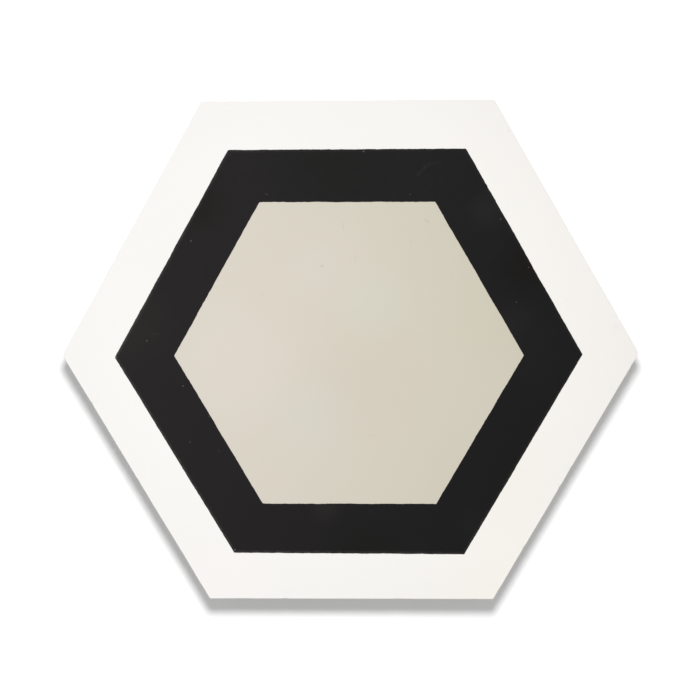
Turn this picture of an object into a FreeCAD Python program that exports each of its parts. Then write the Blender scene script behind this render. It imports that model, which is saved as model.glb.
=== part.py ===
"""Hexagon floor tile, hydraulically pressed from cement as one solid piece.

The tile lies on its back. The origin is the middle of the back face, +Z points out of the
decorated face, +Y crosses two flats and +X runs through two corners. Lengths are in millimetres.
The colours of the face are dyed into it and lie flush, so they leave no step in the solid.
"""

import FreeCAD, Part

import math
import os

import Sketcher

SIDES = 6

# Driving dimensions: alias, value and what it sets.
DIMENSIONS = [
    ("across_flats", 200.0, "between two opposite sides"),
    ("thickness", 16.0, "from the back face to the decorated face"),
    ("corner_radius", 1.6, "of the six upright corners, as the mould frame leaves them"),
    ("face_arris", 0.6, "radius of the rubbed edge round the decorated face"),
    ("back_arris", 0.8, "leg of the broken edge round the back face"),
]


def make_sheet(doc):
    """The spreadsheet of driving dimensions: a name, a value and a note on each row."""
    sheet = doc.addObject("Spreadsheet::Sheet", "Dimensions")
    for row, (alias, value, note) in enumerate(DIMENSIONS, start=1):
        sheet.set(f"A{row}", alias)
        sheet.set(f"B{row}", str(value))
        sheet.set(f"C{row}", note)
        sheet.setAlias(f"B{row}", alias)
    doc.recompute()
    return sheet


def origin_plane(body, role):
    """One of the body's own origin planes, found by its role."""
    return next(f for f in body.Origin.OriginFeatures if f.Role == role)


def hexagon_outline(body, sheet):
    """Sketch of a regular hexagon about the origin, with two sides level along X."""
    sketch = body.newObject("Sketcher::SketchObject", "HexagonOutline")
    sketch.AttachmentSupport = [(origin_plane(body, "XY_Plane"), "")]
    sketch.MapMode = "FlatFace"
    start_radius = sheet.across_flats / math.sqrt(3)
    turn = 2 * math.pi / SIDES
    corners = [
        FreeCAD.Vector(start_radius * math.cos(i * turn), start_radius * math.sin(i * turn), 0)
        for i in range(SIDES)
    ]
    for i in range(SIDES):
        sketch.addGeometry(Part.LineSegment(corners[i], corners[(i + 1) % SIDES]), False)
    circle = sketch.addGeometry(
        Part.Circle(FreeCAD.Vector(0, 0, 0), FreeCAD.Vector(0, 0, 1), start_radius), True
    )
    for i in range(SIDES):
        sketch.addConstraint(Sketcher.Constraint("Coincident", i, 2, (i + 1) % SIDES, 1))
        sketch.addConstraint(Sketcher.Constraint("PointOnObject", i, 1, circle))
    for i in range(1, SIDES):
        sketch.addConstraint(Sketcher.Constraint("Equal", 0, i))
    sketch.addConstraint(Sketcher.Constraint("Coincident", circle, 3, -1, 1))
    sketch.addConstraint(Sketcher.Constraint("Horizontal", 1))
    size = sketch.addConstraint(Sketcher.Constraint("Radius", circle, start_radius))
    sketch.renameConstraint(size, "corner_circle")
    sketch.setExpression("Constraints.corner_circle", "Dimensions.across_flats / sqrt(3)")
    return sketch


def upright_edges(shape):
    """Names of the edges that are taller than they are wide."""
    boxes = [edge.BoundBox for edge in shape.Edges]
    return [
        f"Edge{n}"
        for n, box in enumerate(boxes, start=1)
        if box.ZLength > box.XLength + box.YLength
    ]


def end_face(shape, pick):
    """Name of the highest face, if pick is max, or of the lowest one, if it is min."""
    heights = [face.CenterOfMass.z for face in shape.Faces]
    return f"Face{heights.index(pick(heights)) + 1}"


def make_tile(doc, sheet):
    """The tile: a padded hexagon with rounded corners, a rubbed face edge and a broken back edge."""
    body = doc.addObject("PartDesign::Body", "Tile")
    body.Label = "hexagon_tile"
    outline = hexagon_outline(body, sheet)

    slab = body.newObject("PartDesign::Pad", "PressedSlab")
    slab.Profile = outline
    slab.setExpression("Length", "Dimensions.thickness")
    doc.recompute()

    corners = body.newObject("PartDesign::Fillet", "MouldCorners")
    corners.Base = (slab, upright_edges(slab.Shape))
    corners.setExpression("Radius", "Dimensions.corner_radius")
    doc.recompute()

    face_edge = body.newObject("PartDesign::Fillet", "RubbedFaceEdge")
    face_edge.Base = (corners, [end_face(corners.Shape, max)])
    face_edge.setExpression("Radius", "Dimensions.face_arris")
    doc.recompute()

    back_edge = body.newObject("PartDesign::Chamfer", "BrokenBackEdge")
    back_edge.Base = (face_edge, [end_face(face_edge.Shape, min)])
    back_edge.setExpression("Size", "Dimensions.back_arris")
    body.Tip = back_edge
    doc.recompute()
    return body


def check(doc, parts):
    """Stops with a plain message if any object failed or a part isn't one valid solid."""
    for obj in doc.Objects:
        if "Invalid" in obj.State or "Error" in obj.State:
            raise RuntimeError(f"{obj.Label} failed: {obj.State}")
    for part in parts:
        shape = part.Shape
        if shape.isNull() or not shape.isValid() or len(shape.Solids) != 1:
            raise RuntimeError(f"{part.Label} isn't one valid solid")


def main():
    doc = FreeCAD.newDocument("HexagonFloorTile")
    sheet = make_sheet(doc)
    parts = [make_tile(doc, sheet)]
    doc.recompute()
    check(doc, parts)
    os.makedirs("parts", exist_ok=True)
    for part in parts:
        part.Shape.exportStep(os.path.join("parts", part.Label + ".step"))
        box = part.Shape.optimalBoundingBox(False)
        size = f"{box.XLength:.2f} x {box.YLength:.2f} x {box.ZLength:.2f} mm"
        print(f"{part.Label}: {size}, {part.Shape.Volume / 1000:.1f} cm3")


main()
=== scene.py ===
"""Hexagon floor tile pressed from cement, its face dyed with three flush hexagons.

Lengths are in metres unless a name ends in _mm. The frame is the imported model's own: the origin is
the middle of the back face, +Z points out of the dyed face, +Y crosses two opposite sides and +X runs
through two corners. Lists with one entry for each corner start at the right corner and run on
anticlockwise: right, top right, top left, left, bottom left, bottom right.
"""

import math

import bpy
import numpy as np
from bpy.props import FloatProperty, FloatVectorProperty, PointerProperty
from mathutils import Euler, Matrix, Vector


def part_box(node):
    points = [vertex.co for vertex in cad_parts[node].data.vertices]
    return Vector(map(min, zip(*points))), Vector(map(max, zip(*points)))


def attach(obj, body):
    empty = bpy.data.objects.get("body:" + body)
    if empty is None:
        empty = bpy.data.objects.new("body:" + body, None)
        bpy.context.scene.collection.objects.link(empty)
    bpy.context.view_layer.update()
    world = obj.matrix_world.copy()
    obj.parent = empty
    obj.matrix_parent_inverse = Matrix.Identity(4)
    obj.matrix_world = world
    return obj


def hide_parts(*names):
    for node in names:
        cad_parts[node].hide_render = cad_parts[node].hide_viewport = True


bl_info = {
    "name": "Hexagon Floor Tile",
    "version": (1, 0, 0),
    "blender": (4, 5, 0),
    "location": "View3D > Sidebar > Hexagon Tile",
    "description": "Presses a hexagonal cement floor tile and sets it out for a picture",
    "category": "Object",
}

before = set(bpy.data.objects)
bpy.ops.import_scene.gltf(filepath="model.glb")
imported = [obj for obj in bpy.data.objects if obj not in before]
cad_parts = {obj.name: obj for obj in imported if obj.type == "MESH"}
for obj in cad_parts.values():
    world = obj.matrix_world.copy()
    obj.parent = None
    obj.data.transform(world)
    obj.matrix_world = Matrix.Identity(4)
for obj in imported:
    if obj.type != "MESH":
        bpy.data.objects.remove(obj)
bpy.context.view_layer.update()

NODE = "hexagon_tile"
BODY = "root"

tile_low, tile_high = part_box(NODE)
ACROSS_FLATS = tile_high.y - tile_low.y
THICKNESS = tile_high.z - tile_low.z

MM = 0.001
CORNERS = 6

# How far the mould and the divider set each hexagon's corners off a regular one, in mm along X and Y.
EDGE_SHIFTS_MM = [(-0.1, -0.2), (-0.15, -0.2), (0.05, 0.2), (0.0, 0.0), (0.2, 0.1), (0.2, -0.2)]
BLACK_SHIFTS_MM = [(-0.65, -0.6), (-0.3, -0.2), (-0.6, 0.1), (-0.65, -0.9), (-0.45, 0.25), (-0.65, -0.5)]
GREIGE_SHIFTS_MM = [(-0.25, -0.8), (-0.6, -0.4), (-0.3, 0.05), (-0.3, -0.3), (-0.4, -0.05), (-0.2, -0.3)]

# Corner radii in mm. The two corners on the X axis are the blunt ones.
EDGE_RADII_MM = [3.6, 1.0, 0.6, 3.6, 1.2, 1.2]
BLACK_RADII_MM = [1.2, 1.5, 0.4, 0.6, 1.0, 0.6]
GREIGE_RADII_MM = [0.6, 0.6, 1.0, 0.6, 0.6, 0.6]

# Steps of the surface's grid: round one corner, along one side and over each stretch of the section.
ARC_STEPS = 10
SIDE_STEPS = 170
GREIGE_STEPS = 14
BLACK_STEPS = 10
WHITE_STEPS = 9
ARRIS_STEPS = 6
UPRIGHT_STEPS = 22
BACK_ARRIS_STEPS = 3
BACK_STEPS = 20

# How far the extra rows that keep a bend crisp lie from it.
GUARD = 0.08 * MM

# Unevenness of the pressing: how far each surface strays and over what length. The arris strays by a
# share of its own radius.
FACE_SWELL, FACE_SWELL_LENGTH = 0.03 * MM, 45 * MM
ARRIS_SWELL, ARRIS_SWELL_LENGTH = 0.25, 9 * MM
SIDE_SWELL, SIDE_SWELL_LENGTH = 0.05 * MM, 35 * MM
SAND_RELIEF, SAND_LENGTH = 0.05 * MM, 3 * MM
BACK_SWELL, BACK_SWELL_LENGTH = 0.15 * MM, 22 * MM

# The power by which the face's swell fades out towards the rim.
FACE_FADE = 4

# How far below the dyed layer the sand relief is at its full depth.
SAND_ONSET = 1 * MM

# The share of the way in over which the back rises from its rim.
BACK_LIP = 0.125

# The waves that make unevenness: how many, the spread of their lengths, and their usual peak.
WAVE_COUNT = 30
WAVE_SPREAD = (0.6, 1.6)
WAVE_PEAK = 1.5

# Air pits in the sides' mortar: how many, their radii and depths, how low they reach and how far below
# the face they begin, as a multiple of the dyed layer's depth.
PIT_COUNT, PIT_RADII, PIT_DEPTHS = 70, (0.9 * MM, 2.0 * MM), (0.2 * MM, 0.7 * MM)
PIT_LOWEST, PIT_START = 1.5 * MM, 1.3

# Nicks in the rim of the face: how many, their radii and depths, and how they press it in and down.
NICK_COUNT, NICK_RADII, NICK_DEPTHS = 22, (0.9 * MM, 1.8 * MM), (0.08 * MM, 0.28 * MM)
NICK_IN, NICK_DOWN = 0.5, 0.6

# Small light specks of dry cement on the black: x, y, radius in mm, and strength.
LIGHT_SPECKS = [
    (-62.8, 45.5, 0.40, 0.27),
    (-66.9, -12.6, 0.40, 0.22),
    (-81.2, 5.7, 0.40, 0.25),
    (-64.5, -35.4, 0.40, 0.14),
    (-32.1, 63.6, 0.30, 0.16),
    (24.5, 63.2, 0.35, 0.12),
    (6.2, 80.1, 0.35, 0.35),
    (66.6, 20.4, 0.35, 0.14),
    (71.3, 34.1, 0.30, 0.24),
    (60.2, 53.2, 0.35, 0.22),
    (-43.2, 68.4, 0.30, 0.05),
    (-41.5, 66.4, 0.30, 0.03),
    (-47.0, -79.6, 0.40, 0.32),
    (-46.5, 79.3, 0.25, 0.12),
    (-56.5, -25.0, 0.60, 0.09),
    (-17.1, -81.0, 0.45, 0.30),
    (-93.8, -0.8, 0.60, 0.28),
]

# Faint light scratches on the black: from x, y to x, y, width in mm, and strength.
LIGHT_SCRATCHES = [
    (-33.1, 63.9, -32.4, 63.7, 0.30, 0.030),
    (-52.9, -38.6, -52.8, -39.3, 0.35, 0.035),
    (27.5, 70.7, 30.3, 73.7, 1.00, 0.009),
    (30.6, 74.0, 32.0, 74.9, 1.20, 0.008),
    (32.4, 75.1, 36.5, 75.8, 0.80, 0.008),
    (-79.0, 8.4, -75.9, 8.4, 0.40, 0.016),
    (8.4, -63.1, 8.4, -65.1, 0.40, 0.008),
]

# Small dark specks on the greige: x, y, radius in mm, and strength.
DARK_SPECKS = [
    (-10.6, 35.2, 1.00, 0.20),
]

# Faint darker streaks on the greige: from x, y to x, y, width in mm, and strength.
DARK_STREAKS = [
    (-1.9, 51.9, -2.1, 49.9, 0.50, 0.09),
    (2.8, 39.3, 2.6, 37.2, 0.50, 0.09),
    (24.9, 45.2, 25.0, 43.5, 0.90, 0.045),
    (-35.2, 23.7, -33.7, 23.8, 0.50, 0.06),
    (30.7, 53.1, 31.9, 52.2, 0.90, 0.11),
    (7.6, -32.9, 10.8, -32.9, 0.80, 0.04),
]

# Soft patches that make a colour lighter, darker, warmer or cooler in places: x, y, radius in mm, and
# what the colour is multiplied by in their middle. On the black, the paler patches are partly painted
# sheen.
WHITE_PATCHES = [
    # Warm at the right, cool along the top and a little dull at the upper left.
    (55, -45, 35, (0.990, 0.975, 0.935)),
    (0, 65, 50, (0.965, 0.980, 0.990)),
    (-55, 35, 50, (0.980, 0.975, 0.970)),
    # Brighter and warm at both lower corners.
    (75, -100, 50, (1.030, 1.010, 0.980)),
    (-55, -100, 35, (1.020, 1.005, 1.015)),
    # Two faint smudges near the right corner and a dark grain by the upper right side.
    (87.3, 20.6, 3.0, (0.985, 0.985, 0.985)),
    (106.1, 10.3, 2.5, (0.985, 0.985, 0.985)),
    (63.2, 87.5, 0.6, (0.90, 0.90, 0.90)),
]
BLACK_TONE_AND_SHEEN_PATCHES = [
    # Paler round the right corner, the left corner and the top right one, partly as painted sheen.
    (80, 0, 35, (1.30, 1.25, 1.30)),
    (65, 13, 12, (1.30, 1.30, 1.35)),
    (-90, 13, 25, (1.30, 1.30, 1.20)),
    (55, 57, 11, (1.45, 1.50, 1.50)),
    # A pale haze, partly painted sheen, by the greige's lower side, and one at the lower right.
    (-10, -62, 9, (1.45, 1.40, 1.35)),
    (50, -70, 10, (1.20, 1.20, 1.25)),
    # Deeper along the top, the bottom, the upper right side and the upper left one.
    (-5, 75, 35, (0.80, 0.85, 0.80)),
    (5, -80, 25, (0.80, 0.85, 0.80)),
    (70, 35, 17, (0.75, 0.70, 0.65)),
    (-60, 60, 17, (0.80, 0.80, 0.70)),
]
GREIGE_PATCHES = [
    # A little deeper in the middle and paler towards the left and right corners.
    (5, -10, 35, (0.985, 0.975, 0.975)),
    (-45, -5, 35, (1.030, 1.015, 1.040)),
    (65, -20, 35, (1.025, 1.025, 1.050)),
    # Cool clouds above and below the middle.
    (-10, 35, 25, (1.015, 1.015, 1.040)),
    (10, 20, 20, (0.990, 1.025, 1.030)),
    (-15, -25, 25, (0.985, 1.010, 1.025)),
]

# Colours of the marks and of the mortar's sand.
SPECK_COLOUR = (0.55, 0.53, 0.50, 1.0)
DIRT_COLOUR = (0.18, 0.15, 0.11, 1.0)
PALE_SAND = (0.62, 0.58, 0.50, 1.0)
DARK_SAND = (0.16, 0.15, 0.14, 1.0)

# A thin wash of white over the black's outer edge: how far in it reaches, its share at the line, and
# how that share changes over each mm along X and Y, as it is strongest at the lower left.
WASH_REACH_MM = 1.3
WASH_SHARE = 0.0165
WASH_LEAN = (-0.00012, -0.00009, 0.0)

# The wash is patchy: the size of its patches, and the least and most of its share in them.
WASH_PATCH_MM = 2.5
WASH_PATCHINESS = (0.4, 1.6)

# The range that most of a Noise texture's values lie in, and that of the cement grain's height.
NOISE_RANGE = (0.35, 0.65)
GRAIN_RANGE = (0.2, 0.8)

# Cement grain, as multiples of its grain size: its wider lumps, and how far apart its pin holes lie.
WIDE_LUMPS, HOLE_SPACING = 6.0, 7

# What fine and wider lumps add to the grain, how far a pin hole reaches in its cell, and the tone in
# its middle, darkened there as painted shade.
FINE_SHARE, WIDE_SHARE = 0.6, 0.4
HOLE_REACH, HOLE_PAINTED_SHADE = (0.04, 0.10), 0.8

# Lengths over which a line between two cements wanders and is ragged.
WANDER_MM, RAGGED_MM = 9.0, 2.0

# Sand in the mortar: cells to a mm, and the cells' random values past which a grain is pale or dark.
SAND_CELLS, PALE_ABOVE, DARK_BELOW = 1.1, 0.72, 0.22

# Upright drag marks in the mortar: how they are drawn out, their width and their share of the relief.
DRAWN_OUT, DRAG_MM, DRAG_SHARE = (1.0, 1.0, 0.12), 0.7, 0.35

# Washes of white over the mortar: their width, the noise values between which they grow, and their
# greatest share.
STREAK_MM, STREAK_RANGE, STREAK_SHARE = 5.0, (0.52, 0.72), 0.55

# Finish of the dull cement: its specular level, and on the face and on the mortar its roughness, from
# one end of its grain or colour line to the other, and the depth of its bump. The dyed layer's edge
# keeps only a share of the mortar's bump.
CEMENT_SPECULAR = 0.06
FACE_ROUGHNESS, FACE_RELIEF = (0.70, 0.58), 0.02 * MM
SIDE_ROUGHNESS, SIDE_RELIEF = (0.70, 0.88), 0.12 * MM
DYED_EDGE_RELIEF = 0.25

# Painted light falloff: how much each colour changes over the falloff's length along X, as a share of
# its own colour. Each is lighter towards -X and darker towards +X, as if the light fell off across the
# tile. On the black, most of it is painted sheen: a haze of reflected light towards -X.
FALLOFF_LENGTH_MM = 100.0
WHITE_PAINTED_FALLOFF = (-0.008, -0.012, -0.016)
BLACK_PAINTED_SHEEN_AND_FALLOFF = (-0.46, -0.42, -0.43)
GREIGE_PAINTED_FALLOFF = (-0.09, -0.09, -0.14)

# The camera, as fitted to the tile's outline: where it stands, how it is turned, its lens, and how
# near it sees.
CAMERA_PLACE_MM = (8.35, 29.67, 414.16)
CAMERA_TURN_DEGREES = (-4.037, 1.126, -0.353)
LENS_MM = 51.31
SENSOR_MM = 36.0
NEAREST_SEEN = 0.01

# The floor: how far it reaches, how far under the tile's back it lies, and how far inside the tile's
# sides its hole ends.
FLOOR_REACH = 4.0
FLOOR_GAP = 0.05 * MM
HOLE_INSET = 0.9 * MM

# How strongly the floor glows where it is seen: beside the tile, and far out, and where it changes.
NEAR_GLOW, FAR_GLOW = 0.16, 1.0
GLOW_START, GLOW_END = 0.13, 0.40

# Where the lamps hang, what they point at, and how wide the under lamp is.
KEY_PLACE, KEY_AIM = (0.0105, 0.138, 0.338), (-0.061, -0.150, 0.0)
UNDER_PLACE, UNDER_AIM = (-0.35, -0.55, -0.45), (0.0, 0.0, 0.0)
UNDER_SIZE = 0.4


class TileSettings(bpy.types.PropertyGroup):
    """Sizes and colours of the tile."""

    across_flats: FloatProperty(
        name="Across Flats",
        description="From one side of the tile to the opposite one",
        default=ACROSS_FLATS,
        unit="LENGTH",
    )
    thickness: FloatProperty(
        name="Thickness",
        description="From the back to the dyed face",
        default=THICKNESS,
        unit="LENGTH",
    )
    black_across: FloatProperty(
        name="Black Across",
        description="From one side of the black hexagon's outline to the opposite one",
        default=162.2 * MM,
        unit="LENGTH",
    )
    greige_across: FloatProperty(
        name="Greige Across",
        description="From one side of the greige hexagon to the opposite one",
        default=121.1 * MM,
        unit="LENGTH",
    )
    face_arris: FloatProperty(
        name="Face Arris",
        description="Mean radius of the rubbed edge round the face",
        default=0.22 * MM,
        unit="LENGTH",
    )
    back_arris: FloatProperty(
        name="Back Arris",
        description="Width of the broken edge round the back",
        default=0.8 * MM,
        unit="LENGTH",
    )
    dyed_depth: FloatProperty(
        name="Dyed Depth",
        description="How deep the dyed cement reaches before the grey mortar begins",
        default=3.6 * MM,
        unit="LENGTH",
    )
    white: FloatVectorProperty(
        name="White",
        description="Colour of the outer band and of the dyed layer where it shows on the sides",
        default=(0.948, 0.929, 0.895),
        subtype="COLOR",
        min=0.0,
        max=1.0,
    )
    black: FloatVectorProperty(
        name="Black",
        description="Colour of the middle band",
        default=(0.0121, 0.0111, 0.0113),
        subtype="COLOR",
        min=0.0,
        max=1.0,
    )
    greige: FloatVectorProperty(
        name="Greige",
        description="Colour of the hexagon in the middle",
        default=(0.666, 0.623, 0.529),
        subtype="COLOR",
        min=0.0,
        max=1.0,
    )
    mortar: FloatVectorProperty(
        name="Mortar",
        description="Colour of the sandy mortar on the sides and back",
        default=(0.44, 0.425, 0.395),
        subtype="COLOR",
        min=0.0,
        max=1.0,
    )


class StageSettings(bpy.types.PropertyGroup):
    """Light and floor of the picture."""

    key_power: FloatProperty(
        name="Key Power",
        description="Power of the soft lamp close above the tile, in watts",
        default=8.39,
        unit="POWER",
    )
    key_size: FloatProperty(
        name="Key Size",
        description="Width of the key lamp: a wider one blurs the shadow more",
        default=0.089,
        unit="LENGTH",
    )
    under_power: FloatProperty(
        name="Under Power",
        description="Power of the lamp that lights the tile's back from below, in watts",
        default=6.0,
        unit="POWER",
    )
    sky_strength: FloatProperty(
        name="Sky Strength",
        description="Strength of the even light from all round",
        default=0.298,
    )
    floor: FloatVectorProperty(
        name="Floor",
        description="Colour of the floor as the tile sees it",
        default=(0.80, 0.80, 0.80),
        subtype="COLOR",
        min=0.0,
        max=1.0,
    )


def unit(vectors):
    """Each vector divided by its own length."""
    return vectors / np.linalg.norm(vectors, axis=-1, keepdims=True)


def steps(count):
    """Even steps from just above 0 to 1, as a column for mixing rows of points."""
    return (np.arange(1, count + 1) / count)[:, None, None]


def waves(points, length, seed):
    """Smooth unevenness between about -1 and 1: a sum of sine waves that run in random directions
    through space, each about the given length, with random starts. The sum is divided by the square
    root of their number and by its usual peak."""
    rng = np.random.default_rng(seed)
    heading = unit(rng.normal(size=(WAVE_COUNT, points.shape[-1])))
    turns = 2 * math.pi / (length * rng.uniform(*WAVE_SPREAD, size=(WAVE_COUNT, 1)))
    start = rng.uniform(0, 2 * math.pi, size=WAVE_COUNT)
    total = np.sin(points @ (heading * turns).T + start).sum(axis=-1)
    return total / math.sqrt(WAVE_COUNT) / WAVE_PEAK


def rounded_hexagon(across, shifts_mm, radii_mm):
    """Points round a hexagon, anticlockwise, as one row of x and y.

    Each corner is a parabola that touches both of its sides: with t from 0 to 1 it is
    (1 - t)^2 start + 2t(1 - t) corner + t^2 end. Each side is a straight mix of its two ends.
    """
    turn = 2 * math.pi / CORNERS * np.arange(CORNERS)
    circle = across / math.sqrt(3)
    corner = circle * np.column_stack([np.cos(turn), np.sin(turn)]) + np.array(shifts_mm) * MM
    back_along = unit(np.roll(corner, 1, axis=0) - corner)
    on_along = unit(np.roll(corner, -1, axis=0) - corner)
    half_angle = np.arccos((back_along * on_along).sum(axis=1)) / 2
    reach = (np.array(radii_mm) * MM / np.tan(half_angle))[:, None]
    start = (corner + reach * back_along)[:, None]
    end = (corner + reach * on_along)[:, None]
    corner = corner[:, None]
    t = np.linspace(0, 1, ARC_STEPS + 1)[None, :, None]
    arcs = (1 - t) ** 2 * start + 2 * t * (1 - t) * corner + t**2 * end
    s = np.linspace(0, 1, SIDE_STEPS + 1)[None, 1:-1, None]
    sides = (1 - s) * end + s * np.roll(start, -1, axis=0)
    return np.concatenate([arcs, sides], axis=1).reshape(-1, 2)


def outward(outline):
    """Unit vectors square to a closed anticlockwise outline, pointing out of it."""
    along = unit(np.roll(outline, -1, axis=0) - np.roll(outline, 1, axis=0))
    return np.column_stack([along[:, 1], -along[:, 0]])


def at_height(rows, height):
    """Rows of x and y with a z added: the height is one number, or one for each row."""
    z = np.broadcast_to(np.reshape(height, (-1, 1, 1)), rows.shape[:2] + (1,))
    return np.concatenate([rows, z], axis=-1)


def dents(points, centres, radii, depths):
    """How deep each point lies in round hollows: depth times (1 - distance^2 / radius^2)^2 inside
    the radius of a hollow and nothing outside it, added up over all of them."""
    depth = np.zeros(points.shape[:-1])
    for centre, radius, deep in zip(centres, radii, depths):
        share = ((points - centre) ** 2).sum(axis=-1) / radius**2
        depth += deep * np.clip(1 - share, 0, None) ** 2
    return depth


def scattered(outline, count, heights, radii, depths, seed):
    """Hollows at random places round the outline: their centres, radii and depths."""
    rng = np.random.default_rng(seed)
    spots = outline[rng.integers(len(outline), size=count)]
    centres = np.column_stack([spots, rng.uniform(*heights, size=count)])
    return centres, rng.uniform(*radii, size=count), rng.uniform(*depths, size=count)


def face_rows(settings, greige, black, rim):
    """The flat face, from near its middle to where its rim begins to round.

    Rows swell from the middle to the greige line, then are straight mixes of that line and the black
    one, and of the black line and the rim. The face rises and falls by a few hundredths of a
    millimetre, and less and less towards the rim. Also gives how far out from the middle each row
    lies, measured towards a side.
    """
    half = settings.across_flats / 2
    guard = rim * (1 - GUARD / half)
    rows = np.concatenate([
        steps(GREIGE_STEPS) * greige,
        greige + steps(BLACK_STEPS) * (black - greige),
        black + steps(WHITE_STEPS) * (guard - black),
        rim[None],
    ])
    flat = at_height(rows, settings.thickness)
    fade = 1 - (np.linalg.norm(rows, axis=-1) / half) ** FACE_FADE
    swell = FACE_SWELL * waves(flat, FACE_SWELL_LENGTH, seed=3) - FACE_SWELL
    flat[..., 2] += swell * np.clip(fade, 0, 1)
    lines = (0.0, settings.greige_across / 2, settings.black_across / 2, half)
    stretches = zip(lines, lines[1:], (GREIGE_STEPS, BLACK_STEPS, WHITE_STEPS))
    out = [start + (end - start) * steps(count).ravel() for start, end, count in stretches]
    return flat, np.concatenate([*out, [half]])


def rim_rows(settings, edge, normal):
    """The rubbed edge round the face: a quarter circle from the face down to the side, whose radius
    wanders along the outline."""
    there = at_height(edge[None], settings.thickness)[0]
    radius = settings.face_arris * (1 + ARRIS_SWELL * waves(there, ARRIS_SWELL_LENGTH, seed=5))
    angle = math.pi / 2 * steps(ARRIS_STEPS)
    inset = radius[None, :, None] * (1 - np.sin(angle))
    drop = radius[None, :] * (1 - np.cos(angle[..., 0]))
    rows = at_height(edge - inset * normal, settings.thickness)
    rows[..., 2] -= drop
    return rows, edge - radius[:, None] * normal, radius


def side_rows(settings, edge, radius):
    """The six upright sides: straight lines from the end of the rim down to the broken back edge,
    with one extra row close to each end."""
    top = settings.thickness - radius[None, :] - GUARD
    bottom = settings.back_arris + GUARD
    down = np.linspace(0, 1, UPRIGHT_STEPS + 1)[:, None]
    height = np.concatenate([(1 - down) * top + down * bottom, np.full_like(top, settings.back_arris)])
    rows = np.broadcast_to(edge, (len(height),) + edge.shape)
    return np.concatenate([rows, height[..., None]], axis=-1)


def back_rows(settings, edge):
    """The broken back edge, a straight slope in to a smaller hexagon, and then the back, in to near
    its middle. The back lies on its rim and rises from there by up to a few tenths of a millimetre."""
    rim_across = settings.across_flats - 2 * settings.back_arris
    rim = rounded_hexagon(rim_across, EDGE_SHIFTS_MM, EDGE_RADII_MM)
    slope = steps(BACK_ARRIS_STEPS)
    broken = at_height((1 - slope) * edge + slope * rim, settings.back_arris * (1 - slope.ravel()))
    inwards = np.concatenate([[GUARD / settings.across_flats], np.arange(1, BACK_STEPS) / BACK_STEPS])
    back = at_height((1 - inwards[:, None, None]) * rim, 0.0)
    fade = np.clip(inwards[:, None] / BACK_LIP, 0, 1)
    rise = np.clip(1 + waves(back, BACK_SWELL_LENGTH, seed=7), 0, None)
    back[..., 2] = BACK_SWELL * fade * rise
    return np.concatenate([broken, back])


def roughen(settings, rows, edge, normal, is_side):
    """Unevenness of the sides, pushed in along the outline's normal: a slow swell everywhere, and
    sand relief and air pits below the dyed layer, and nicks pushed in and down along the rim."""
    push = np.concatenate([normal, np.zeros((len(normal), 1))], axis=1)
    swell = SIDE_SWELL * waves(at_height(edge[None], 0.0)[0], SIDE_SWELL_LENGTH, seed=11)
    below = np.clip((settings.thickness - settings.dyed_depth - rows[..., 2]) / SAND_ONSET, 0, 1)
    sand = SAND_RELIEF * below * (waves(rows, SAND_LENGTH, seed=13) - 1)
    mortar_heights = (PIT_LOWEST, settings.thickness - PIT_START * settings.dyed_depth)
    pits = dents(rows, *scattered(edge, PIT_COUNT, mortar_heights, PIT_RADII, PIT_DEPTHS, seed=17))
    rim_heights = (settings.thickness, settings.thickness)
    nicks = dents(rows, *scattered(edge, NICK_COUNT, rim_heights, NICK_RADII, NICK_DEPTHS, seed=19))
    rows = rows + (swell + is_side * (sand - pits))[..., None] * push
    return rows - nicks[..., None] * (push * NICK_IN + np.array([0.0, 0.0, NICK_DOWN]))


def slab_surface(settings):
    """The whole tile as one closed surface of two parameters.

    One parameter runs round the outline. The other runs along the section: from the middle of the
    face out to its rim, over the rim, down the side, over the broken back edge and in to the middle of
    the back. Gives the grid of points, how far out on the face each row lies and the number of rows
    that belong to the dyed face.
    """
    edge = rounded_hexagon(settings.across_flats, EDGE_SHIFTS_MM, EDGE_RADII_MM)
    black = rounded_hexagon(settings.black_across, BLACK_SHIFTS_MM, BLACK_RADII_MM)
    greige = rounded_hexagon(settings.greige_across, GREIGE_SHIFTS_MM, GREIGE_RADII_MM)
    normal = outward(edge)
    rim, rim_start, radius = rim_rows(settings, edge, normal)
    face, out = face_rows(settings, greige, black, rim_start)
    side = side_rows(settings, edge, radius)
    back = back_rows(settings, edge)
    grid = np.concatenate([face, rim, side, back])
    dyed_rows = len(face) + len(rim)
    is_side = np.zeros((len(grid), 1))
    is_side[dyed_rows:dyed_rows + len(side)] = 1
    grid = roughen(settings, grid, edge, normal, is_side)
    out = np.concatenate([out, np.full(len(grid) - len(out), settings.across_flats / 2)])
    return grid, out, dyed_rows


def slab_faces(row_count, column_count):
    """Corner numbers of the faces: squares between neighbouring rows, and triangles from the first and
    last row to the two middle points, which come after all the rows. All point outwards."""
    number = np.arange(row_count * column_count).reshape(row_count, column_count)
    onward = np.roll(number, -1, axis=1)
    squares = np.stack([number[:-1], number[1:], onward[1:], onward[:-1]], axis=-1).reshape(-1, 4)
    face_middle = np.full(column_count, row_count * column_count)
    face_fan = np.stack([face_middle, number[0], onward[0]], axis=-1)
    back_fan = np.stack([face_middle + 1, onward[-1], number[-1]], axis=-1)
    return squares, face_fan, back_fan


def add_attribute(mesh, name, values):
    """Keeps one number for each point of the mesh, for the materials to read."""
    attribute = mesh.attributes.new(name, "FLOAT", "POINT")
    attribute.data.foreach_set("value", values.astype(np.float32))


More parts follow.
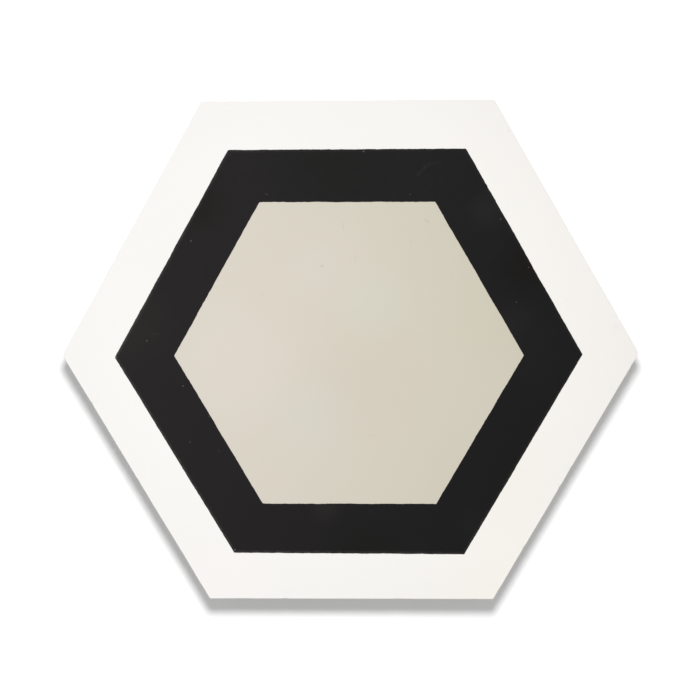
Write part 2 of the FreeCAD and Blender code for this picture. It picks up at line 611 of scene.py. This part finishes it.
def make_slab(settings):
    """The tile's mesh, with its two materials and the distances that place the colours."""
    grid, out, dyed_rows = slab_surface(settings)
    rows, columns = grid.shape[:2]
    middles = np.array([[0, 0, grid[0, :, 2].mean()], [0, 0, grid[-1, :, 2].mean()]])
    points = np.concatenate([grid.reshape(-1, 3), middles])
    squares, face_fan, back_fan = slab_faces(rows, columns)
    mesh = bpy.data.meshes.new("pressed_slab")
    mesh.from_pydata(points.tolist(), [], squares.tolist() + face_fan.tolist() + back_fan.tolist())
    if mesh.validate():
        raise RuntimeError("the slab's surface has faces that Blender had to mend")
    row_of_square = np.repeat(np.arange(rows - 1), columns)
    is_mortar = np.concatenate([
        row_of_square >= dyed_rows - 1, np.zeros(columns, bool), np.ones(columns, bool)
    ])
    mesh.polygons.foreach_set("material_index", is_mortar.astype(np.int32))
    mesh.shade_smooth()
    from_middle = np.concatenate([np.repeat(out, columns), [0.0, settings.across_flats / 2]])
    add_attribute(mesh, "greige_line", (from_middle - settings.greige_across / 2) / MM)
    add_attribute(mesh, "black_line", (from_middle - settings.black_across / 2) / MM)
    mesh.materials.append(dyed_face_material(settings))
    mesh.materials.append(mortar_material(settings))
    slab = bpy.data.objects.new("pressed_slab", mesh)
    bpy.context.scene.collection.objects.link(slab)
    return slab


def feed(tree, socket, value):
    """Links an input to another node's socket, or sets it to a value."""
    if isinstance(value, bpy.types.NodeSocket):
        tree.links.new(value, socket)
    else:
        socket.default_value = value


def node(tree, kind, inputs=None, **properties):
    """Adds a shader node, sets its properties and then feeds its inputs."""
    made = tree.nodes.new(kind)
    for name, value in properties.items():
        setattr(made, name, value)
    for key, value in (inputs or {}).items():
        feed(tree, made.inputs[key], value)
    return made


def calc(tree, operation, *values, clamp=False):
    """A Math node's result."""
    made = node(tree, "ShaderNodeMath", dict(enumerate(values)), operation=operation, use_clamp=clamp)
    return made.outputs["Value"]


def move(tree, operation, *values):
    """A Vector Math node's vector."""
    made = node(tree, "ShaderNodeVectorMath", dict(enumerate(values)), operation=operation)
    return made.outputs["Vector"]


def scaled(tree, vector, factor):
    """A vector multiplied by a number."""
    made = node(tree, "ShaderNodeVectorMath", {0: vector, "Scale": factor}, operation="SCALE")
    return made.outputs["Vector"]


def measure(tree, operation, *values):
    """A Vector Math node's number, such as a length, a distance or a dot product."""
    made = node(tree, "ShaderNodeVectorMath", dict(enumerate(values)), operation=operation)
    return made.outputs["Value"]


def grey(tree, value):
    """A number as a colour."""
    return node(tree, "ShaderNodeCombineXYZ", {0: value, 1: value, 2: value}).outputs["Vector"]


def span(tree, value, low, high, to_low=0.0, to_high=1.0, smooth=False):
    """A value spread from one range to another, clamped, with soft ends if smooth."""
    kind = "SMOOTHSTEP" if smooth else "LINEAR"
    inputs = {"Value": value, "From Min": low, "From Max": high, "To Min": to_low, "To Max": to_high}
    return node(tree, "ShaderNodeMapRange", inputs, interpolation_type=kind).outputs["Result"]


def mix(tree, share, first, second, blend="MIX"):
    """Two colours mixed by a share, or blended another way, such as multiplied."""
    made = node(tree, "ShaderNodeMix", data_type="RGBA", blend_type=blend)
    named = {socket.identifier: socket for socket in made.inputs}
    for key, value in {"Factor_Float": share, "A_Color": first, "B_Color": second}.items():
        feed(tree, named[key], value)
    return next(socket for socket in made.outputs if socket.identifier == "Result_Color")


def noise(tree, position, size_mm, detail=3.0, roughness=0.5):
    """A Noise texture's value, with lumps of about the given size when the position is in mm."""
    inputs = {"Vector": position, "Scale": 1 / size_mm, "Detail": detail, "Roughness": roughness}
    return node(tree, "ShaderNodeTexNoise", inputs, noise_dimensions="3D").outputs[0]


def new_group(name, inputs, outputs):
    """A node group with named sockets. Gives the group, its inputs and its outputs."""
    tree = bpy.data.node_groups.new(name, "ShaderNodeTree")
    for title, kind, default in inputs:
        socket = tree.interface.new_socket(title, in_out="INPUT", socket_type="NodeSocket" + kind)
        socket.default_value = default
    for title, kind in outputs:
        tree.interface.new_socket(title, in_out="OUTPUT", socket_type="NodeSocket" + kind)
    return tree, tree.nodes.new("NodeGroupInput").outputs, tree.nodes.new("NodeGroupOutput").inputs


def place_group(tree, name, **inputs):
    """Places a node group by name. Words in an input's name are joined by _ here."""
    inputs = {key.replace("_", " ").title(): value for key, value in inputs.items()}
    return node(tree, "ShaderNodeGroup", inputs, node_tree=bpy.data.node_groups[name]).outputs


def build_cement_grain():
    """Fine grain of pressed cement: a tone that varies about 1, and a height for the bump, of close
    grain, wider unevenness and sparse pin holes. The tone is darkened in the pin holes as painted shade."""
    tree, given, made = new_group(
        "Cement Grain",
        [("Position", "Vector", (0, 0, 0)), ("Grain Size", "Float", 0.5), ("Contrast", "Float", 0.02),
         ("Pin Holes", "Float", 0.5)],
        [("Tone And Hole Shade", "Float"), ("Height", "Float")],
    )
    grains = scaled(tree, given["Position"], calc(tree, "DIVIDE", 1.0, given["Grain Size"]))
    fine = noise(tree, grains, 1.0, detail=4.0, roughness=0.6)
    wide = calc(tree, "MULTIPLY", noise(tree, grains, WIDE_LUMPS, detail=2.0), WIDE_SHARE)
    cells = node(tree, "ShaderNodeTexVoronoi", {"Vector": grains, "Scale": 1 / HOLE_SPACING}).outputs
    hole = span(tree, cells["Distance"], *HOLE_REACH, 1.0, 0.0, smooth=True)
    chosen = calc(tree, "LESS_THAN", cells["Color"], given["Pin Holes"])
    hole = calc(tree, "MULTIPLY", hole, chosen)
    grain = calc(tree, "ADD", calc(tree, "MULTIPLY", fine, FINE_SHARE), wide)
    centred = calc(tree, "MULTIPLY", calc(tree, "SUBTRACT", grain, 0.5), 2.0)
    tone = calc(tree, "MULTIPLY_ADD", centred, given["Contrast"], 1.0)
    # Painted shade: the tone darkens in the middle of each pin hole.
    tone = calc(tree, "MULTIPLY", tone, span(tree, hole, 0.0, 1.0, 1.0, HOLE_PAINTED_SHADE))
    tree.links.new(tone, made["Tone And Hole Shade"])
    tree.links.new(calc(tree, "SUBTRACT", grain, hole), made["Height"])


def build_pigment_cloud_and_falloff():
    """A dye as it settles in the mould: its colour, in clouds of lighter and darker. A painted light
    falloff also scales it along X, by a share of itself over the falloff's length."""
    tree, given, made = new_group(
        "Pigment Cloud And Painted Falloff",
        [("Position", "Vector", (0, 0, 0)), ("Dye", "Color", (0.5, 0.5, 0.5, 1)),
         ("Drift", "Vector", (0, 0, 0)), ("Cloud Size", "Float", 20.0), ("Depth", "Float", 0.03)],
        [("Dye", "Color")],
    )
    clouds = scaled(tree, given["Position"], calc(tree, "DIVIDE", 1.0, given["Cloud Size"]))
    cloud = noise(tree, clouds, 1.0, detail=3.0, roughness=0.55)
    swing = calc(tree, "MULTIPLY", given["Depth"], 2.0)
    depth = calc(tree, "MULTIPLY", calc(tree, "SUBTRACT", cloud, 0.5), swing)
    # Painted light falloff: the colour is scaled along X, lighter towards -X.
    x = node(tree, "ShaderNodeSeparateXYZ", {0: given["Position"]}).outputs["X"]
    drift = scaled(tree, given["Drift"], calc(tree, "DIVIDE", x, FALLOFF_LENGTH_MM))
    factor = move(tree, "ADD", drift, calc(tree, "ADD", depth, 1.0))
    tree.links.new(mix(tree, 1.0, given["Dye"], factor, blend="MULTIPLY"), made["Dye"])


def build_ragged_line():
    """The line where one cement meets another: 0 before it and 1 past it, by a distance in mm that
    wanders slowly and is ragged in small."""
    tree, given, made = new_group(
        "Ragged Line",
        [("Distance", "Float", 0.0), ("Position", "Vector", (0, 0, 0)), ("Wander", "Float", 0.1),
         ("Ragged", "Float", 0.1), ("Softness", "Float", 0.1)],
        [("Past", "Float")],
    )
    slow = noise(tree, given["Position"], WANDER_MM, detail=1.0)
    small = noise(tree, given["Position"], RAGGED_MM, detail=3.0, roughness=0.7)
    distance = given["Distance"]
    for lumps, reach in ((slow, given["Wander"]), (small, given["Ragged"])):
        distance = calc(tree, "MULTIPLY_ADD", calc(tree, "SUBTRACT", lumps, 0.5), reach, distance)
    low = calc(tree, "MULTIPLY", given["Softness"], -1.0)
    tree.links.new(span(tree, distance, low, given["Softness"], smooth=True), made["Past"])


def build_round_mark():
    """A round spot, in mm: strongest at its centre, and fading smoothly to nothing at its radius."""
    tree, given, made = new_group(
        "Round Mark",
        [("Position", "Vector", (0, 0, 0)), ("Centre", "Vector", (0, 0, 0)), ("Radius", "Float", 1.0),
         ("Strength", "Float", 1.0)],
        [("Mark", "Float")],
    )
    away = measure(tree, "DISTANCE", given["Position"], given["Centre"])
    mark = span(tree, away, 0.0, given["Radius"], given["Strength"], 0.0, smooth=True)
    tree.links.new(mark, made["Mark"])


def build_scratch():
    """A straight scratch between two points, in mm: strongest on its line and gone past its width."""
    tree, given, made = new_group(
        "Scratch",
        [("Position", "Vector", (0, 0, 0)), ("Start", "Vector", (0, 0, 0)),
         ("End", "Vector", (1, 0, 0)), ("Width", "Float", 0.2), ("Strength", "Float", 1.0)],
        [("Mark", "Float")],
    )
    run = move(tree, "SUBTRACT", given["End"], given["Start"])
    offset = move(tree, "SUBTRACT", given["Position"], given["Start"])
    reach = measure(tree, "DOT_PRODUCT", offset, run)
    whole = measure(tree, "DOT_PRODUCT", run, run)
    nearest = scaled(tree, run, calc(tree, "DIVIDE", reach, whole, clamp=True))
    away = measure(tree, "DISTANCE", offset, nearest)
    mark = span(tree, away, 0.0, given["Width"], given["Strength"], 0.0, smooth=True)
    tree.links.new(mark, made["Mark"])


def build_groups():
    """All the shared node groups."""
    build_cement_grain()
    build_pigment_cloud_and_falloff()
    build_ragged_line()
    build_round_mark()
    build_scratch()


def new_material(name):
    """An empty material. Gives it with its node tree, its shader and positions on the piece in mm."""
    material = bpy.data.materials.new(name)
    material.use_nodes = True
    tree = material.node_tree
    shader = tree.nodes["Principled BSDF"]
    place = node(tree, "ShaderNodeTexCoord").outputs["Object"]
    return material, tree, shader, scaled(tree, place, 1 / MM)


def finish_shader(tree, shader, colour, roughness, height, relief):
    """Joins a colour, a roughness and a bump of the given depth to a shader, as dull cement."""
    bump = node(tree, "ShaderNodeBump", {"Height": height, "Distance": relief, "Strength": 1.0})
    tree.links.new(colour, shader.inputs["Base Color"])
    tree.links.new(roughness, shader.inputs["Roughness"])
    tree.links.new(bump.outputs["Normal"], shader.inputs["Normal"])
    shader.inputs["Specular IOR Level"].default_value = CEMENT_SPECULAR


def clouded_with_painted_falloff(tree, position, colour, drift, cloud_size, depth):
    """A dye or mortar with its clouds and its painted light falloff."""
    return place_group(
        tree, "Pigment Cloud And Painted Falloff", position=position, dye=(*colour, 1), drift=drift, cloud_size=cloud_size,
        depth=depth,
    )["Dye"]


def add_patches(tree, base, position, patches):
    """Multiplies a colour by soft round patches."""
    for x, y, radius, factors in patches:
        mark = place_group(
            tree, "Round Mark", position=position, centre=(x, y, 0), radius=radius, strength=1.0
        )
        base = mix(tree, mark["Mark"], base, (*factors, 1), blend="MULTIPLY")
    return base


def add_spots(tree, base, position, spots, colour):
    """Lays round marks over a colour."""
    for x, y, radius, strength in spots:
        mark = place_group(
            tree, "Round Mark", position=position, centre=(x, y, 0), radius=radius, strength=strength
        )
        base = mix(tree, mark["Mark"], base, colour)
    return base


def add_scratches(tree, base, position, scratches, colour):
    """Lays straight scratches over a colour."""
    for x, y, end_x, end_y, width, strength in scratches:
        mark = place_group(
            tree, "Scratch", position=position, start=(x, y, 0), end=(end_x, end_y, 0), width=width,
            strength=strength,
        )
        base = mix(tree, mark["Mark"], base, colour)
    return base


def add_sand(tree, base, cells, chosen, colour, edge, strength):
    """Lays sand grains over a colour: one in each chosen cell, out to a soft edge."""
    grain = span(tree, cells["Distance"], *edge, 1.0, 0.0, smooth=True)
    grain = calc(tree, "MULTIPLY", grain, chosen)
    return mix(tree, calc(tree, "MULTIPLY", grain, strength), base, colour)


def dyed_face_material(settings):
    """The smooth dyed face: white, black and greige cement that meet in slightly ragged lines."""
    material, tree, shader, position = new_material("dyed_cement")
    flat = move(tree, "MULTIPLY", position, (1, 1, 0))
    grain = place_group(
        tree, "Cement Grain", position=position, grain_size=0.5, contrast=0.012, pin_holes=0.06
    )

    # Each dye carries a painted light falloff along X. On the black, most of it is painted sheen.
    white = clouded_with_painted_falloff(tree, flat, settings.white, WHITE_PAINTED_FALLOFF, cloud_size=30.0, depth=0.004)
    white = add_patches(tree, white, flat, WHITE_PATCHES)

    black = clouded_with_painted_falloff(tree, flat, settings.black, BLACK_PAINTED_SHEEN_AND_FALLOFF, cloud_size=18.0, depth=0.05)
    # The black's paler patches are partly painted sheen.
    black = add_patches(tree, black, flat, BLACK_TONE_AND_SHEEN_PATCHES)
    black = add_spots(tree, black, flat, LIGHT_SPECKS, SPECK_COLOUR)
    black = add_scratches(tree, black, flat, LIGHT_SCRATCHES, SPECK_COLOUR)

    greige = clouded_with_painted_falloff(tree, flat, settings.greige, GREIGE_PAINTED_FALLOFF, cloud_size=26.0, depth=0.006)
    greige = add_patches(tree, greige, flat, GREIGE_PATCHES)
    greige = add_spots(tree, greige, flat, DARK_SPECKS, DIRT_COLOUR)
    greige = add_scratches(tree, greige, flat, DARK_STREAKS, DIRT_COLOUR)

    distances = {
        line: node(tree, "ShaderNodeAttribute", attribute_name=line).outputs["Fac"]
        for line in ("greige_line", "black_line")
    }
    share = calc(tree, "ADD", measure(tree, "DOT_PRODUCT", flat, WASH_LEAN), WASH_SHARE)
    patchy = span(tree, noise(tree, flat, WASH_PATCH_MM), *NOISE_RANGE, *WASH_PATCHINESS)
    wash = span(tree, distances["black_line"], -WASH_REACH_MM, 0.0)
    wash = calc(tree, "MULTIPLY", calc(tree, "MULTIPLY", wash, share), patchy)
    black = mix(tree, wash, black, white)

    past = {}
    for line, distance in distances.items():
        past[line] = place_group(
            tree, "Ragged Line", distance=distance, position=flat, wander=0.32, ragged=0.44,
            softness=0.06,
        )["Past"]
    colour = mix(tree, past["greige_line"], greige, black)
    colour = mix(tree, past["black_line"], colour, white)
    # The grain's tone includes painted shade in the pin holes.
    colour = mix(tree, 1.0, colour, grey(tree, grain["Tone And Hole Shade"]), blend="MULTIPLY")
    roughness = span(tree, grain["Height"], *GRAIN_RANGE, *FACE_ROUGHNESS)
    finish_shader(tree, shader, colour, roughness, grain["Height"], FACE_RELIEF)
    return material


def mortar_material(settings):
    """Sides and back: the white cement's edge at the top, and below an uneven line the grey sandy
    mortar, with sand grains, air pits, upright drag marks from the mould and washes of white."""
    material, tree, shader, position = new_material("pressed_mortar")
    grain = place_group(
        tree, "Cement Grain", position=position, grain_size=0.9, contrast=0.20, pin_holes=0.35
    )
    smooth = place_group(
        tree, "Cement Grain", position=position, grain_size=0.5, contrast=0.03, pin_holes=0.1
    )

    white = clouded_with_painted_falloff(tree, position, settings.white, (0, 0, 0), cloud_size=16.0, depth=0.05)
    mortar = clouded_with_painted_falloff(tree, position, settings.mortar, (0, 0, 0), cloud_size=14.0, depth=0.12)
    cells = node(tree, "ShaderNodeTexVoronoi", {"Vector": position, "Scale": SAND_CELLS}).outputs
    pale = calc(tree, "GREATER_THAN", cells["Color"], PALE_ABOVE)
    dark = calc(tree, "LESS_THAN", cells["Color"], DARK_BELOW)
    mortar = add_sand(tree, mortar, cells, pale, PALE_SAND, edge=(0.18, 0.30), strength=0.5)
    mortar = add_sand(tree, mortar, cells, dark, DARK_SAND, edge=(0.15, 0.25), strength=0.55)

    drawn_out = move(tree, "MULTIPLY", position, DRAWN_OUT)
    drag = noise(tree, drawn_out, DRAG_MM, detail=3.0, roughness=0.6)
    streaks = noise(tree, drawn_out, STREAK_MM, detail=4.0, roughness=0.65)
    wash = span(tree, streaks, *STREAK_RANGE, 0.0, STREAK_SHARE, smooth=True)
    height = node(tree, "ShaderNodeSeparateXYZ", {0: position}).outputs["Z"]
    wash = calc(tree, "MULTIPLY", wash, span(tree, height, 1.0, settings.thickness / MM, 0.0, 1.0))
    mortar = mix(tree, wash, mortar, white)

    depth = calc(tree, "SUBTRACT", settings.thickness / MM, height)
    into_mortar = calc(tree, "SUBTRACT", depth, settings.dyed_depth / MM)
    past = place_group(
        tree, "Ragged Line", distance=into_mortar, position=position, wander=1.8, ragged=0.7,
        softness=0.22,
    )["Past"]
    colour = mix(tree, past, white, mortar)
    # The grains' tones include painted shade in the pin holes.
    tones = {0: past, 2: smooth["Tone And Hole Shade"], 3: grain["Tone And Hole Shade"]}
    tone = node(tree, "ShaderNodeMix", tones, data_type="FLOAT").outputs[0]
    colour = mix(tree, 1.0, colour, grey(tree, tone), blend="MULTIPLY")

    relief = calc(tree, "MULTIPLY_ADD", drag, DRAG_SHARE, grain["Height"])
    relief = calc(tree, "MULTIPLY", relief, span(tree, past, 0.0, 1.0, DYED_EDGE_RELIEF, 1.0))
    roughness = span(tree, past, 0.0, 1.0, *SIDE_ROUGHNESS)
    finish_shader(tree, shader, colour, roughness, relief, SIDE_RELIEF)
    return material


def seen_directly(tree):
    """1 for rays that show the background as it is, straight or by gloss or glass, and 0 for light."""
    path = node(tree, "ShaderNodeLightPath").outputs
    shown = calc(tree, "MAXIMUM", path["Is Camera Ray"], path["Is Glossy Ray"])
    return calc(tree, "MAXIMUM", shown, path["Is Transmission Ray"])


def floor_material(settings):
    """A plain pale floor. Where it is seen directly it glows a little, and more away from the tile, so
    it fills out to white and only the tile's shadow shows. It can be looked through from below."""
    material = bpy.data.materials.new("studio_floor")
    material.use_nodes = True
    tree = material.node_tree
    tree.nodes.clear()
    plain = node(tree, "ShaderNodeBsdfDiffuse", {"Color": (*settings.floor, 1)})
    pale = node(tree, "ShaderNodeBsdfDiffuse", {"Color": (1, 1, 1, 1)})
    place = node(tree, "ShaderNodeTexCoord").outputs["Object"]
    strength = span(tree, measure(tree, "LENGTH", place), GLOW_START, GLOW_END, NEAR_GLOW, FAR_GLOW)
    glow = node(tree, "ShaderNodeEmission", {"Strength": strength})
    white = node(tree, "ShaderNodeAddShader", {0: pale.outputs[0], 1: glow.outputs[0]})
    shown = node(
        tree, "ShaderNodeMixShader", {0: seen_directly(tree), 1: plain.outputs[0], 2: white.outputs[0]}
    )
    clear = node(tree, "ShaderNodeBsdfTransparent")
    below = node(tree, "ShaderNodeNewGeometry").outputs["Backfacing"]
    floor = node(tree, "ShaderNodeMixShader", {0: below, 1: shown.outputs[0], 2: clear.outputs[0]})
    output = node(tree, "ShaderNodeOutputMaterial")
    tree.links.new(floor.outputs[0], output.inputs["Surface"])
    return material


def make_floor(settings):
    """A level hexagon just under the tile's back. A hexagonal hole in its middle, which the tile
    covers, lets the light from below reach the back."""
    turn = 2 * math.pi / CORNERS * np.arange(CORNERS)
    ring = np.column_stack([np.cos(turn), np.sin(turn)])
    hole = (ACROSS_FLATS / 2 - HOLE_INSET) / math.cos(math.pi / CORNERS)
    corners = at_height(np.stack([hole * ring, FLOOR_REACH * ring]), -FLOOR_GAP).reshape(-1, 3)
    inner = np.arange(CORNERS)
    onward = np.roll(inner, -1)
    faces = np.column_stack([inner, inner + CORNERS, onward + CORNERS, onward])
    mesh = bpy.data.meshes.new("floor")
    mesh.from_pydata(corners.tolist(), [], faces.tolist())
    mesh.materials.append(floor_material(settings))
    floor = bpy.data.objects.new("floor", mesh)
    bpy.context.scene.collection.objects.link(floor)
    return floor


def make_sky(settings):
    """Even light from all round, white where it is seen directly."""
    world = bpy.data.worlds.new("studio")
    world.use_nodes = True
    tree = world.node_tree
    background = tree.nodes["Background"]
    background.inputs["Color"].default_value = (1, 1, 1, 1)
    strength = span(tree, seen_directly(tree), 0.0, 1.0, settings.sky_strength, 1.0)
    tree.links.new(strength, background.inputs["Strength"])
    bpy.context.scene.world = world


def hang_lamp(name, place, aim, power, size):
    """Hangs a round area lamp at one place, pointed at another. Gives its data."""
    data = bpy.data.lights.new(name, "AREA")
    data.shape = "DISK"
    data.energy = power
    data.size = size
    lamp = bpy.data.objects.new(name, data)
    lamp.location = place
    lamp.rotation_euler = (Vector(aim) - Vector(place)).to_track_quat("-Z", "Y").to_euler()
    bpy.context.scene.collection.objects.link(lamp)
    return data


def make_lamps(settings):
    """The key lamp hangs close above the top of the picture, so the shadow spreads on three sides. Its
    light doesn't fade with distance, so it stays even over the face. The under lamp lights only the
    back, through the floor's hole."""
    key = hang_lamp("key", KEY_PLACE, KEY_AIM, settings.key_power, settings.key_size)
    key.use_nodes = True
    tree = key.node_tree
    falloff = node(tree, "ShaderNodeLightFalloff", {"Strength": 1.0})
    tree.links.new(falloff.outputs["Constant"], tree.nodes["Emission"].inputs["Strength"])
    hang_lamp("under", UNDER_PLACE, UNDER_AIM, settings.under_power, UNDER_SIZE)


def make_camera():
    """The camera, almost straight above the tile."""
    data = bpy.data.cameras.new("camera")
    data.lens = LENS_MM
    data.sensor_width = SENSOR_MM
    data.clip_start = NEAREST_SEEN
    camera = bpy.data.objects.new("camera", data)
    camera.location = Vector(CAMERA_PLACE_MM) * MM
    camera.rotation_euler = Euler([math.radians(turn) for turn in CAMERA_TURN_DEGREES])
    bpy.context.scene.collection.objects.link(camera)
    bpy.context.scene.camera = camera


class HEXTILE_OT_press_slab(bpy.types.Operator):
    """Make the pressed cement tile with its dyed face"""

    bl_idname = "hex_tile.press_slab"
    bl_label = "Press Slab"

    def execute(self, context):
        build_groups()
        slab = make_slab(context.scene.hex_tile)
        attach(slab, BODY)
        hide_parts(NODE)
        return {"FINISHED"}


class HEXTILE_OT_set_stage(bpy.types.Operator):
    """Lay the floor and set up the light and the camera"""

    bl_idname = "hex_tile.set_stage"
    bl_label = "Set Stage"

    def execute(self, context):
        settings = context.scene.hex_tile_stage
        make_floor(settings)
        make_sky(settings)
        make_lamps(settings)
        make_camera()
        context.scene.view_settings.view_transform = "Standard"
        return {"FINISHED"}


class HEXTILE_PT_sidebar(bpy.types.Panel):
    """The tile's settings and steps"""

    bl_label = "Hexagon Tile"
    bl_idname = "HEXTILE_PT_sidebar"
    bl_space_type = "VIEW_3D"
    bl_region_type = "UI"
    bl_category = "Hexagon Tile"

    def draw(self, context):
        for settings, step in (
            (context.scene.hex_tile, HEXTILE_OT_press_slab),
            (context.scene.hex_tile_stage, HEXTILE_OT_set_stage),
        ):
            box = self.layout.box()
            for name in settings.__annotations__:
                box.prop(settings, name)
            box.operator(step.bl_idname)


CLASSES = (
    TileSettings,
    StageSettings,
    HEXTILE_OT_press_slab,
    HEXTILE_OT_set_stage,
    HEXTILE_PT_sidebar,
)


def register():
    for cls in CLASSES:
        bpy.utils.register_class(cls)
    bpy.types.Scene.hex_tile = PointerProperty(type=TileSettings)
    bpy.types.Scene.hex_tile_stage = PointerProperty(type=StageSettings)


def unregister():
    del bpy.types.Scene.hex_tile_stage
    del bpy.types.Scene.hex_tile
    for cls in reversed(CLASSES):
        bpy.utils.unregister_class(cls)


def main():
    register()
    bpy.ops.hex_tile.press_slab()
    bpy.ops.hex_tile.set_stage()


if __name__ == "__main__":
    main()
